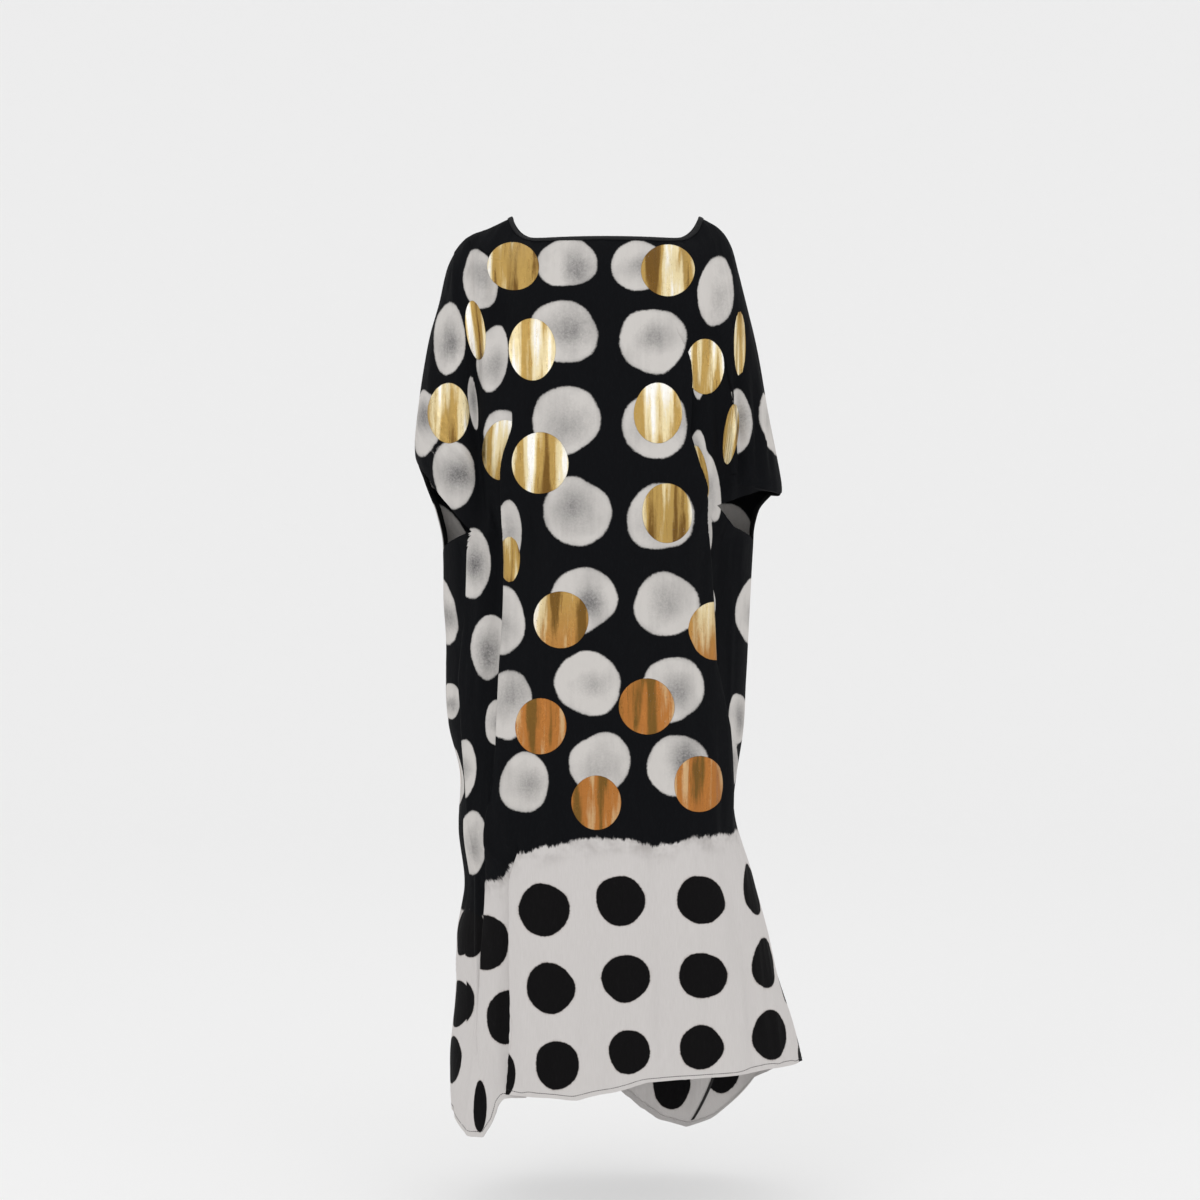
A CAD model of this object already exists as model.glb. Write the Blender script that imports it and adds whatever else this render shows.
"""Looks of a worn kaftan: dyed crepe panels with foil dots, bound neck, stitched hems."""

import math

import bpy
import numpy as np
from bpy.props import FloatProperty, FloatVectorProperty
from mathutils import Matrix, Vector


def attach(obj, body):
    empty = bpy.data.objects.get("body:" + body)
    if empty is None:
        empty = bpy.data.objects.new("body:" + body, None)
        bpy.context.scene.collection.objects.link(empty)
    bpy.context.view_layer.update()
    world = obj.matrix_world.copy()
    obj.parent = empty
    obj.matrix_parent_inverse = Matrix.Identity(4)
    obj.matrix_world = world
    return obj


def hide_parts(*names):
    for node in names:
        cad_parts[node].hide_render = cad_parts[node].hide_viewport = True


bl_info = {
    "name": "Dip-dyed Kaftan",
    "version": (1, 0, 0),
    "blender": (4, 5, 0),
    "location": "View3D > Sidebar > Kaftan",
    "description": "Builds the cloth, binding, hems and studio of a worn kaftan",
    "category": "Add Mesh",
}

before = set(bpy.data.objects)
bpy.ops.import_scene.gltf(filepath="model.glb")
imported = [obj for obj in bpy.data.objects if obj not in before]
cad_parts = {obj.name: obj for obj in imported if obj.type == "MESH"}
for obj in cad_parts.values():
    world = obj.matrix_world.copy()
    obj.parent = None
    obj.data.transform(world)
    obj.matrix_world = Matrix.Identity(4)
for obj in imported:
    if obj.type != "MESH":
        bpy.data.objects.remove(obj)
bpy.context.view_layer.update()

MM = 0.001

# ---- The hanging cloth, in millimetres, as the solids have it ----------------
COLUMNS = (
    "frontZ frontY sideY backZ backY leftX leftZ rightX rightZ squareF squareB rise "
    "edgeL edgeR backL backR"
).split()
SECTIONS = np.array([
    # in the order of COLUMNS, from the neckline down to the hem
    [-41, -78, -6, -27, 62, -144, 0, 142, 0, 1.0, 1.0, 12, 90, 90, 90, 90],
    [-64, -92, -4, -50, 82, -176, -16, 170, -16, 0.95, 0.95, 7, 90, 90, 90, 90],
    [-92, -104, 0, -78, 96, -212, -32, 188, -40, 0.88, 0.88, 5, 90, 90, 90, 90],
    [-135, -114, 0, -125, 104, -238, -72, 203, -86, 0.8, 0.8, 3.2, 90, 90, 90, 90],
    [-185, -121, 0, -180, 108, -252, -130, 217, -140, 0.76, 0.76, 2.4, 90, 90, 90, 90],
    [-240, -126, 0, -240, 110, -268, -190, 231, -205, 0.75, 0.75, 2, 90, 90, 90, 90],
    [-305, -129, 0, -305, 111, -282, -275, 246, -300, 0.75, 0.75, 2, 90, 90, 90, 90],
    [-380, -130, 0, -380, 112, -289, -351, 266, -410, 0.75, 0.75, 2, 90, 90, 90, 90],
    [-408, -130, 4, -410, 112, -280, -395, 254, -420, 0.8, 0.75, 2, 70, 62, 97, 97],
    [-438, -131, 14, -440, 114, -265, -440, 238, -440, 0.95, 0.75, 2, 62, 46, 99, 99],
    [-470, -132, 28, -472, 116, -254, -480, 229, -470, 1.15, 0.72, 2, 57, 62, 96, 96],
    [-505, -132, 36, -508, 118, -250, -512, 226, -500, 1.3, 0.7, 2, 90, 90, 90, 90],
    [-600, -133, 36, -605, 118, -250, -605, 221, -600, 1.3, 0.7, 2, 90, 90, 90, 90],
    [-700, -134, 26, -706, 120, -251, -700, 216, -702, 1.15, 0.72, 2, 90, 90, 90, 90],
    [-775, -137, 12, -785, 126, -245, -770, 213, -775, 1.0, 0.76, 2, 88, 93, 88, 93],
    [-850, -141, 4, -865, 132, -229, -845, 204, -850, 0.9, 0.8, 2, 84, 98, 84, 98],
    [-930, -146, 0, -950, 138, -229, -925, 200, -925, 0.85, 0.82, 2, 81, 105, 81, 105],
    [-1010, -151, 0, -1035, 144, -217, -1005, 220, -995, 0.85, 0.85, 2, 78, 113, 78, 113],
    [-1090, -156, 0, -1120, 150, -227, -1085, 242, -1075, 0.85, 0.85, 2, 75, 122, 75, 122],
    [-1170, -160, 0, -1205, 156, -229, -1170, 260, -1155, 0.85, 0.85, 2, 72, 133, 72, 133],
    [-1240, -164, 0, -1290, 162, -236, -1260, 284, -1232, 0.85, 0.85, 2, 69, 145, 69, 145],
    [-1300, -168, 0, -1350, 168, -232, -1335, 296, -1287, 0.85, 0.85, 2, 66, 157, 66, 157],
])
CUFF, UNDERARM, HEM = 7, 11, 21
SWING_FROM = 15
STRAIGHT_COLUMNS = COLUMNS[-4:]
HEM_LINE = np.array([
    # angle round the ring, height
    [-180, -1352], [-150, -1345], [-120, -1336], [-95, -1338], [-72, -1359], [-64, -1369], [-58, -1373],
    [-51, -1371], [-46, -1350], [-42, -1320], [-38, -1308], [-30, -1301], [-18, -1301], [-8, -1304], [0, -1293],
    [8, -1277], [25, -1273], [50, -1269], [80, -1273], [100, -1286], [118, -1308],
    [131, -1330], [140, -1368], [149, -1402], [158, -1418], [167, -1406], [172, -1388],
    [177, -1362], [180, -1352],
])
PLEATS = {
    # name: side, over, lap, half, depth, from, to, line of (height, x)
    "left_side": ("front", 1, 20, 20, 13, -560, -1010,
                  [(-100, -205), (-240, -208), (-475, -212), (-700, -222), (-900, -212), (-1350, -190)]),
    "left_front": ("front", 1, 34, 24, 17, -290, -1290,
                   [(-60, -128), (-287, -138), (-520, -138), (-660, -144), (-800, -149), (-900, -164),
                    (-1000, -178), (-1100, -183), (-1240, -191), (-1350, -186)]),
    "left_skirt": ("front", 1, 26, 24, 13, -900, -1600,
                   [(-60, -62), (-500, -78), (-800, -104), (-900, -126), (-1000, -131), (-1200, -129), (-1350, -137)]),
    "right_front": ("front", -1, 30, 24, 15, -150, -960,
                    [(-60, 82), (-143, 94), (-228, 114), (-334, 108), (-412, 134), (-520, 146),
                     (-673, 156), (-769, 178), (-871, 188), (-1350, 236)]),
    "right_side": ("front", -1, 14, 14, 9, -90, -330,
                   [(-60, 150), (-120, 182), (-240, 188), (-400, 196), (-600, 200), (-900, 198), (-1350, 280)]),
    "back_left": ("back", -1, 38, 26, 15, -330, -1240,
                  [(-60, -110), (-400, -152), (-800, -160), (-1350, -150)]),
    "back_middle": ("back", 1, 34, 26, 24, -420, -1600,
                    [(-60, -20), (-400, -38), (-900, -58), (-1350, -66)]),
    "back_right": ("back", 1, 36, 26, 15, -270, -1180,
                   [(-60, 60), (-400, 92), (-900, 74), (-1350, 48)]),
}
PLEAT_FADE = 110
LAYER_FADE = 60
FURROWS = [
    # side, x at top, top, x at foot, foot, half-width, depth: as the solids have them
    ("front", -200, -200, -197, -470, 15, 22),
    ("front", -150, -60, -172, -300, 22, 8),
    ("front", 176, -240, 172, -440, 9, 9),
    ("front", 203, -230, 206, -420, 9, 10),
    ("front", 226, -250, 228, -400, 8, 7),
    ("front", 20, -930, 40, -1400, 34, -7),
    ("front", 150, -1010, 196, -1400, 40, -8),
    ("back", 160, -150, 190, -900, 26, 10),
    ("back", -210, -250, -214, -900, 22, 11),
    ("back", 10, -700, 4, -1400, 34, -12),
    ("back", 150, -800, 206, -1400, 36, -12),
    ("back", -120, -900, -118, -1400, 30, -10),
]
# Finer folds, which only the finished cloth has.
FINE_FOLDS = [
    # side, x at top, top, x at foot, foot, half-width, depth
    ("front", -212, -48, -190, -250, 7, 5),
    ("front", -190, -40, -176, -230, 6, -4),
    ("front", -168, -36, -158, -200, 8, 3.5),
    ("front", -228, -90, -214, -330, 6, -4),
    ("front", -243, -150, -236, -420, 7, 4),
    ("front", -262, -240, -256, -400, 6, -3),
    ("front", -130, -50, -112, -260, 12, -3),
    ("front", 118, -40, 128, -150, 8, 4),
    ("front", 132, -40, 150, -260, 7, -4),
    ("front", 158, -60, 166, -330, 6, 4),
    ("front", 189, -250, 190, -440, 5, -5),
    ("front", 214, -260, 216, -420, 5, -5),
    ("front", 240, -200, 246, -400, 6, 4),
    ("front", -176, -330, -172, -700, 9, 5),
    ("front", -190, -480, -196, -760, 8, -5),
    ("front", -100, -240, -112, -640, 13, 4),
    ("front", -70, -420, -92, -1300, 16, -3),
    ("front", -20, -560, -12, -1290, 18, 3),
    ("front", 60, -480, 84, -1280, 16, 3),
    ("front", 104, -620, 138, -1290, 14, -4),
    ("front", 170, -960, 236, -1290, 18, 5),
    ("front", -206, -780, -205, -1350, 7, -5),
    ("back", -90, -40, -150, -420, 12, 6),
    ("back", 96, -40, 170, -380, 12, 6),
    ("back", -190, -80, -220, -360, 9, -5),
    ("back", 186, -100, 210, -380, 9, -5),
    ("back", -40, -160, -72, -760, 14, 4),
    ("back", 30, -260, 36, -1340, 15, 4),
    ("back", 120, -300, 128, -1360, 12, -5),
    ("back", -110, -480, -100, -1340, 12, 5),
    ("back", -190, -600, -186, -1340, 10, -6),
    ("back", 186, -500, 176, -1300, 10, 6),
]

# ---- Dot sizes, in millimetres on the flat cloth -------------------------------
GREY_RADIUS = 48.5
BLACK_RADIUS = 36
FOIL_RADIUS = 42.5


class Section:
    """One horizontal ring of the cloth: its sizes, and its bare outline with running length."""

    ANGLES = np.arange(-360.0, 360.5, 1.0)

    def __init__(self, v):
        self.v = v
        i = int(min(max(math.floor(v), 0), HEM - 1))
        t = v - i
        a, b, d, e = (SECTIONS[min(max(i + k, 0), HEM)] for k in (-1, 0, 1, 2))
        cubic = b + 0.5 * t * (d - a + t * (2 * a - 5 * b + 4 * d - e + t * (3 * (b - d) + e - a)))
        straight = b + (d - b) * t
        for c, name in enumerate(COLUMNS):
            setattr(self, name, straight[c] if name in STRAIGHT_COLUMNS else cubic[c])
        sin, cos = np.sin(np.radians(self.ANGLES)), np.cos(np.radians(self.ANGLES))
        power = np.where(cos >= 0, self.squareF, self.squareB)
        reach = np.where(cos >= 0, self.frontY - self.sideY, self.backY - self.sideY)
        self.x = np.where(sin >= 0, self.rightX, self.leftX) * np.abs(sin) ** power
        self.y = self.sideY + reach * np.abs(cos) ** power
        run = np.concatenate([[0], np.cumsum(np.hypot(np.diff(self.x), np.diff(self.y)))])
        self.run = run - run[360]

    def run_at(self, angle):
        return np.interp(angle, self.ANGLES, self.run)

    def run_at_x(self, x, side):
        """Running length of the point whose x is given, on the front or the back."""
        wide = self.rightX if x >= 0 else self.leftX
        power = self.squareF if side == "front" else self.squareB
        lean = math.degrees(math.asin(min(max(x / wide, 0), 0.995) ** (1 / power)))
        angle = lean if side == "front" else 180 - lean
        return self.run_at(angle if x >= 0 else -angle)

    def nearest(self, run, near):
        """The same place counted round the ring so that it is nearest to near."""
        whole = self.run[-1] - self.run[360]
        return run + np.round((near - run) / whole) * whole


def smooth(t):
    t = np.clip(t, 0, 1)
    return t * t * (3 - 2 * t)


def running_length(path, axis=0):
    """Running length along a path of points, or along every line of a grid of them."""
    steps = np.linalg.norm(np.diff(path, axis=axis), axis=-1)
    start = np.zeros_like(np.take(steps, [0], axis))
    return np.concatenate([start, np.cumsum(steps, axis=axis)], axis=axis)


def unit(vectors):
    """The vectors at a length of one."""
    return vectors / np.linalg.norm(vectors, axis=-1, keepdims=True)


def resampled(at, run, values):
    """Points or directions along a path, read off at other running lengths."""
    return np.stack([np.interp(at, run, values[:, k]) for k in range(3)], axis=-1)


def line_at(line, level):
    """Value of a (height, value) line, listed downwards, at a height."""
    heights, values = np.array(line, float)[::-1].T
    return float(np.interp(level, heights, values))


def active(z, top, foot):
    """1 between top and foot, fading to 0 towards both over the pleat fade."""
    return smooth((top - z) / PLEAT_FADE) * smooth((z - foot) / PLEAT_FADE)


def height_on(section, angle):
    """Height round a ring: from its centre height to its side height, late or early as
    its rise says, swung onto the hem's own line towards the hem."""
    turned = (angle + 540) % 360 - 180
    rise = np.abs(np.sin(np.radians(turned))) ** section.rise
    side = np.where(turned >= 0, section.rightZ, section.leftZ)
    centre = np.where(np.abs(turned) <= 90, section.frontZ, section.backZ)
    last = dict(zip(COLUMNS, SECTIONS[HEM]))
    last_side = np.where(turned >= 0, last["rightZ"], last["leftZ"])
    last_centre = np.where(np.abs(turned) <= 90, last["frontZ"], last["backZ"])
    swing = min(max((section.v - SWING_FROM) / (HEM - SWING_FROM), 0), 1) ** 1.6
    own = np.interp(turned, HEM_LINE[:, 0], HEM_LINE[:, 1])
    plain = last_centre + (last_side - last_centre) * rise
    return centre + (side - centre) * rise + swing * (own - plain)


def pleat_centre(section, name, near):
    side, line = PLEATS[name][0], PLEATS[name][-1]
    level = section.frontZ if side == "front" else section.backZ
    return section.nearest(section.run_at_x(line_at(line, level), side), near)


def row_of_cloth(section, run):
    """Middle surface of the cloth along one ring, for an array of running lengths.

    A pleat of half-width h slides the cloth along the ring by -A sin(pi q), with q the
    distance from its centre over h, so that for A over h/pi it laps on itself, while a
    smooth step sinks the lower layer. Furrows and fine folds sink it by a bell curve.
    """
    z = height_on(section, np.interp(run, section.run, section.ANGLES))
    along, sink = run.copy(), np.zeros_like(run)
    for name, (side, over, lap, half, depth, top, foot, _line) in PLEATS.items():
        level = section.frontZ if side == "front" else section.backZ
        strength = float(active(level, top, foot))
        if strength > 0:
            q = (run - pleat_centre(section, name, run)) / half
            inside = np.abs(q) < 1
            along -= np.where(inside, strength * (half + lap) / 2 * np.sin(np.pi * q), 0)
            away = np.maximum(0, -over * q - 1) * half
            lower = smooth((1 - over * q) / 2) * np.exp(-((away / LAYER_FADE) ** 2))
            sink += strength * depth * lower
    for folds, fade in ((FURROWS, 40), (FINE_FOLDS, 30)):
        for side, x_top, top, x_foot, foot, half, depth in folds:
            level = section.frontZ if side == "front" else section.backZ
            t = min(max((top - level) / (top - foot), 0), 1)
            strength = float(active(level, top + fade, foot - fade))
            if strength > 0:
                at = section.run_at_x(x_top + (x_foot - x_top) * t, side)
                q = (run - section.nearest(at, run)) / half
                sink += strength * depth * np.exp(-q * q)
    x = np.interp(along, section.run, section.x)
    y = np.interp(along, section.run, section.y)
    tx, ty = (
        np.interp(along + 2, section.run, line) - np.interp(along - 2, section.run, line)
        for line in (section.x, section.y)
    )
    length = np.hypot(tx, ty)
    return np.stack([x - sink * ty / length, y + sink * tx / length, z], axis=1)


ROW_COUNTS = (74, 48, 140)
COLUMN_COUNT = 176


def row_indices():
    """Section index of each fine row: even between the neck, cuff, underarm and hem."""
    upper = np.linspace(0, 1, ROW_COUNTS[0], endpoint=False) ** 1.15 * CUFF
    middle = np.linspace(CUFF, UNDERARM, ROW_COUNTS[1], endpoint=False)
    return np.concatenate([upper, middle, np.linspace(UNDERARM, HEM, ROW_COUNTS[2])])


def uncut(section):
    """The section as it would be with no opening at its sides: its edges on the line from
    the cuff's to the underarm's."""
    if not CUFF < section.v < UNDERARM:
        return section.edgeL, section.edgeR, section.backL, section.backR
    t = (section.v - CUFF) / (UNDERARM - CUFF)
    return tuple(
        SECTIONS[CUFF][k] + (SECTIONS[UNDERARM][k] - SECTIONS[CUFF][k]) * t
        for k in (COLUMNS.index(name) for name in STRAIGHT_COLUMNS)
    )


def column_runs(section, side):
    """Running lengths of one row's columns, three times as close together on a pleat. At
    an open cuff the outer halves squeeze up to its edge and the middle stays upright."""
    left, right, back_left, back_right = uncut(section)
    if side == "front":
        wide = section.run_at(-left), section.run_at(right)
        start, end = section.run_at(-section.edgeL), section.run_at(section.edgeR)
    else:
        wide = section.run_at(back_right), section.run_at(360 - back_left)
        start, end = section.run_at(section.backR), section.run_at(360 - section.backL)
    even = np.linspace(*wide, 600)
    density = np.ones_like(even)
    for name, pleat in PLEATS.items():
        if pleat[0] == side:
            q = (even - pleat_centre(section, name, sum(wide) / 2)) / (pleat[3] * 1.15)
            density += 2.6 * np.exp(-(q ** 4))
    total = np.concatenate([[0], np.cumsum((density[1:] + density[:-1]) / 2)])
    runs = np.interp(np.linspace(0, total[-1], COLUMN_COUNT), total, even)
    t = (runs - wide[0]) / (wide[1] - wide[0])
    runs = runs + (start - wide[0]) * np.clip(1 - t / 0.5, 0, 1) ** 1.5
    return runs + (end - wide[1]) * np.clip(1 - (1 - t) / 0.5, 0, 1) ** 1.5


def crinkle(across, drop, side):
    """Small unevenness of limp crepe: a few slow waves that run down the cloth, each
    swelling and fading on its own length."""
    shift = 0.0 if side == "front" else 211.0
    out = np.zeros_like(across)
    for wave, sway, swell, size in (
        (61, 260, 410, 1.1), (37, 190, 333, 0.8), (23, 240, 287, 0.55), (14.5, 170, 205, 0.3),
    ):
        phase = across / wave + 0.6 * np.sin(drop / sway + wave + shift)
        swelling = 0.5 + 0.5 * np.sin(drop / swell * 2 * np.pi + wave * 3 + shift)
        out += size * np.sin(2 * np.pi * phase) * swelling
    return out


class Panel:
    """The fine middle surface of one panel, with what the pattern needs to know."""

    def __init__(self, side):
        self.side = side
        self.sections = [Section(v) for v in row_indices()]
        runs = [column_runs(s, side) for s in self.sections]
        points = np.stack([row_of_cloth(s, r) for s, r in zip(self.sections, runs)])
        self.runs = np.stack(runs)
        self.angles = np.stack([np.interp(r, s.run, s.ANGLES) for s, r in zip(self.sections, runs)])
        lengths = running_length(points, 1)
        middle = 0.0 if side == "front" else 180.0
        zero = np.array([np.interp(middle, a, l) for a, l in zip(self.angles, lengths)])
        self.across = lengths - zero[:, None]
        self.drop = -points[..., 2]
        waves = crinkle(self.across, self.drop, side)[..., None]
        self.points = points + self.normals(points) * waves * self.ease()

    def ease(self):
        """0 at the seams and the neck and 1 inside, so that edges of panels still meet."""
        rows, columns = self.across.shape
        j = np.arange(columns)
        near = np.minimum(j, columns - 1 - j) / 10
        i = np.arange(rows) / 10
        return (smooth(near)[None, :] * smooth(i)[:, None])[..., None]

    @staticmethod
    def normals(points):
        across = np.gradient(points, axis=1)
        down = np.gradient(points, axis=0)
        out = np.cross(down, across)
        return out / np.maximum(np.linalg.norm(out, axis=2, keepdims=True), 1e-9)


PANELS = {side: Panel(side) for side in ("front", "back")}


# ---- Where the dots are --------------------------------------------------------
# The front's chart gives each dot as it shows from VIEW_DISTANCE ahead, in the plane of
# the shoulders: its middle, half its width and half its height, how far it leans (sideways
# for each step up), and the folds that bound the stretch of cloth that it lies on. Small
# folds too fine to model take up the rest of a narrow dot's width. Where half the width is
# 0, the dot bends away round a side: x is its edge that shows, and the fifth number is the
# side that its middle lies on.
VIEW_DISTANCE = 3400
VIEW_CENTRE = (-9, -580)
# Stretches of cloth: (pleat, side of its middle), or the far side of the kaftan.
LEFT_STRIP = (("left_side", 1), ("left_front", -1))
SKIRT_STRIP = (("left_front", 1), ("left_skirt", -1))
PAST_LEFT = (("left_front", -1),)
IN_LEFT = (("left_front", 1),)
IN_RIGHT = (("right_front", -1),)
PAST_RIGHT = (("right_front", 1),)
RIGHT_EDGE = (("right_side", 1),)
LEFT_EDGE = (("left_side", -1),)
PAST_SKIRT = (("left_skirt", -1),)
IN_SKIRT = (("left_skirt", 1),)
FAR = (("far", 1),)
FRONT_GREY = [
    # x, height, half width, half height, lean (0 if left out), stretch of cloth
    (-59, -68, 45, 37), (-65, -173, 51, 49), (-61, -307, 52, 52),
    (-44, -446, 51, 52), (-35, -580, 50, 50), (-27, -707, 49.5, 49),
    (-9, -828, 46, 46),
    (50, -72, 44, 36), (71.5, -186, 49, 51), (75, -315, 48, 52, 0, IN_RIGHT),
    (83, -454, 50, 52), (91.5, -587, 47.5, 50), (101, -716, 47, 50),
    (108, -831, 47, 45),
    (-191, -94, 25, 46, -0.12), (-238, -184, 23, 56), (-172, -213, 23, 52, 0.1),
    (-243, -309, 0, 0, -1), (-202, -281, 7, 42, -0.1), (-231, -389, 32, 51),
    (-155, -339, 30, 51, 0, PAST_LEFT),
    (-146, -476, 18, 49, 0, IN_LEFT), (-203, -525, 28, 53, 0, LEFT_STRIP),
    (-155, -612, 33, 50, 0, IN_LEFT), (-175, -651, 30, 49, 0, PAST_LEFT),
    (-236, -733, 15, 28, 0, LEFT_EDGE), (-150, -739, 40, 50, 0, IN_LEFT),
    (-163, -766, 20, 36, 0, PAST_LEFT), (-218, -837, 21, 47, 0, LEFT_STRIP),
    (-124, -858, 38, 45, 0.1, IN_LEFT), (-204, -949, 24, 48, 0, PAST_LEFT),
    (167, -112, 27, 53), (142, -232, 12, 43, 0, PAST_RIGHT),
    (201, -309, 20, 50, 0, RIGHT_EDGE), (229, -315, 0, 0, 1),
    (140, -365, 14, 44, 0, PAST_RIGHT),
    (161, -410, 13, 50, -0.1, PAST_RIGHT), (153, -480, 8, 41, 0, PAST_RIGHT),
    (157, -588, 9, 30, 0, PAST_RIGHT), (200, -760, 14, 40, 0, PAST_RIGHT),
    (191, -829, 10, 38, 0, PAST_RIGHT), (209, -846, 6, 19, 0, PAST_RIGHT),
]
FRONT_FOIL = [
    (-141, -73, 40, 37), (94, -79, 41, 40), (-112, -199, 36, 48),
    (-198, -170, 15, 45, -0.12), (-239, -296, 32, 46), (-155, -352, 33, 47, 0.06, PAST_LEFT),
    (-100, -372, 44, 47), (79, -296, 37, 47, 0, IN_RIGHT), (93, -448, 38.5, 46),
    (-146, -518, 16, 35, 0, IN_LEFT), (-68, -610, 42, 44), (62, -742, 43, 43),
    (-99, -772, 39.5, 43), (-14.5, -888, 38, 42), (142, -860, 39, 43),
    (165, -627, 40, 45, 0, IN_RIGHT), (150, -225, 30, 43, 0, PAST_RIGHT),
    (203, -191, 9, 50, 0, RIGHT_EDGE), (190, -328, 11, 46, 0.12),
    (141, -388, 14, 46, -0.15, PAST_RIGHT),
]
FRONT_BLACK = [
    (-94, -1051, 38, 41), (22, -1037, 38, 37.5), (145, -1036, 37, 37),
    (212, -1026, 0, 0, 1), (-182, -1100, 37, 41, 0, SKIRT_STRIP),
    (-206, -1086, 24, 36, 0, PAST_LEFT),
    (-84, -1170, 36.5, 39), (30, -1155, 36, 37), (147, -1151, 36, 35.5),
    (222, -1133, 0, 0, 1), (-150, -1214, 31, 41, 0, PAST_SKIRT),
    (-228, -1191, 29, 36),
    (-74, -1287, 34, 36.5), (35.5, -1267, 32, 33), (145, -1260, 34, 33),
    (225, -1247, 0, 0, 1), (-152, -1302, 15, 33, 0, IN_SKIRT),
    (-191, -1350, 10, 40), (-232, -1279, 8, 37, 0, PAST_LEFT),
    (175, -1292, 30, 36, 0, FAR),
]
# Dots that show from the front on the back panel: past its left seam, and inside its hem.
BACK_BLACK = [
    (100, -1317, 29, 36, 0, FAR),
]
BACK_SEAM_BLACK = [
    # distance along the row from the back's centre, height
    (512, -1079), (447, -1188), (444, -1273),
]
# Out of sight the dots go on in the same repeat, in columns that run down the cloth, given
# by their distance along the row from the panel's centre.
GREY_ROWS = [-113, -232, -357, -482, -600, -725, -850]
GREY_COLUMNS = {"front": [-400, 365], "back": [-400, -265, -135, 5, 150, 285, 415]}
BLACK_ROWS = [-1050, -1165, -1280, -1392]
BLACK_COLUMNS = {"front": [-420, -302, 340, 458], "back": [-350, -232, -122, 0, 126, 245, 362, 480]}
BACK_FOIL = [
    # distance along the row from the back's centre, height
    (-150, -120), (60, -190), (250, -140), (-240, -250), (-20, -330), (170, -300), (300, -330),
    (-280, -400), (-120, -470), (40, -500), (200, -480), (380, -560), (-250, -610), (-20, -650),
    (180, -690), (300, -740), (-140, -770), (30, -830), (400, -850), (-230, -890), (190, -880),
]
DYE_LINE = [
    # angle round the ring, height that the black dye ends at
    (-180, -1010), (-125, -1030), (-100, -1048), (-66, -1048), (-58, -1048), (-54, -996), (-43, -993),
    (-38, -964), (-33, -957),
    (-20, -938), (0, -925), (15, -938), (40, -928), (70, -925), (90, -930), (110, -960),
    (140, -1000), (157, -1025), (180, -1010),
]
CHORD_FADE = (-170, -240)
# How much paler the foil shows at each height, as it faces more or less light.
FOIL_LIFT = [
    (-900, -0.03), (-740, -0.04), (-600, -0.01), (-450, 0.03), (-350, 0.05), (-200, 0.08),
    (-110, -0.01), (-60, -0.04),
]


# A charted dot ends this many of its longer halves from its middle, further on the sloping
# shoulders; a dot on the far side keeps to cloth behind FAR_SIDE.
REACH, SHOULDER_REACH, SHOULDER_FOOT = 1.15, 1.7, -130
FAR_SIDE = 40
# Repeated dots keep this many radii off the charted ones.
CLEARANCE = {"front": 2.1, "back": 3.0}


def seen_from_front(points):
    """Where points show from the front, in the plane of the shoulders: x and height."""
    scale = VIEW_DISTANCE / (VIEW_DISTANCE + points[..., 1])
    return (
        VIEW_CENTRE[0] + (points[..., 0] - VIEW_CENTRE[0]) * scale,
        VIEW_CENTRE[1] + (points[..., 2] - VIEW_CENTRE[1]) * scale,
    )


def beyond_fold(panel, name, side):
    """True for the vertices on one side of a pleat's middle: -1 to its left, seen from
    the front, and 1 to its right."""
    middle = np.array([pleat_centre(s, name, 0.0) for s in panel.sections])
    return (panel.runs - middle[:, None]) * side > 0


def charted_dot(panel, x, height, half_width, half_height, lean=0, folds=()):
    """A dot of the front's chart: sideways and upward distance of each vertex from its
    middle, as shares of its half width and half height, kept to its stretch of cloth."""
    seen_x, seen_z = seen_from_front(panel.points)
    up = seen_z - height
    u, v = (seen_x - x - lean * up) / half_width, up / half_height
    off = np.hypot(u, v)
    cost = off + panel.points[..., 1] / 400
    allowed = np.ones(off.shape, bool)
    for name, side in folds:
        if name == "far":
            allowed &= panel.points[..., 1] > FAR_SIDE
        else:
            allowed &= beyond_fold(panel, name, side)
    middle = panel.points[np.unravel_index(np.argmin(np.where(allowed, cost, 99)), off.shape)]
    away = np.linalg.norm(panel.points - middle, axis=2)
    stretch = SHOULDER_REACH if height > SHOULDER_FOOT else REACH
    reach = max(half_height, half_width) * stretch
    return u, v, np.where(allowed, np.maximum(off, away / reach), 3.0), middle


def edged_dot(panel, x, height, radius, towards):
    """A dot that bends away round the side: round on the cloth, with the edge that still
    shows at x, and its middle further to the right if towards is 1, or left if -1."""
    seen_x, seen_z = seen_from_front(panel.points)
    away = np.hypot(seen_x - x, seen_z - height)
    cost = np.where(away < 6, panel.points[..., 1] + 2 * away, 1000 + away)
    at = np.unravel_index(np.argmin(cost), cost.shape)
    along = float(panel.across[at]) + towards * radius
    return repeated_dot(panel, along, float(panel.points[at][2]), radius)


def repeated_dot(panel, along, height, radius):
    """A dot of the plain repeat, measured along the rows from its own upright line."""
    row = int(np.argmin(np.abs(panel.points[:, panel.points.shape[1] // 2, 2] - height)))
    middle_angle = 0 if panel.side == "front" else 180
    runs = panel.runs - np.array([[s.run_at(middle_angle)] for s in panel.sections])
    base = float(np.interp(along, panel.across[row], runs[row]))
    line = np.array([np.interp(base, r, a) for r, a in zip(runs, panel.across)])
    flat_x, flat_z = panel.across - line[:, None], panel.points[..., 2] - height
    off = np.hypot(flat_x, flat_z)
    middle = panel.points[np.unravel_index(np.argmin(off), off.shape)]
    chord = np.linalg.norm(panel.points - middle, axis=2)
    share = smooth((panel.points[..., 2] - CHORD_FADE[1]) / (CHORD_FADE[0] - CHORD_FADE[1]))
    away = share * np.where(off < 3 * radius, chord, 3 * radius) + (1 - share) * off
    return flat_x / radius, flat_z / radius, away / radius, middle


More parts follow.
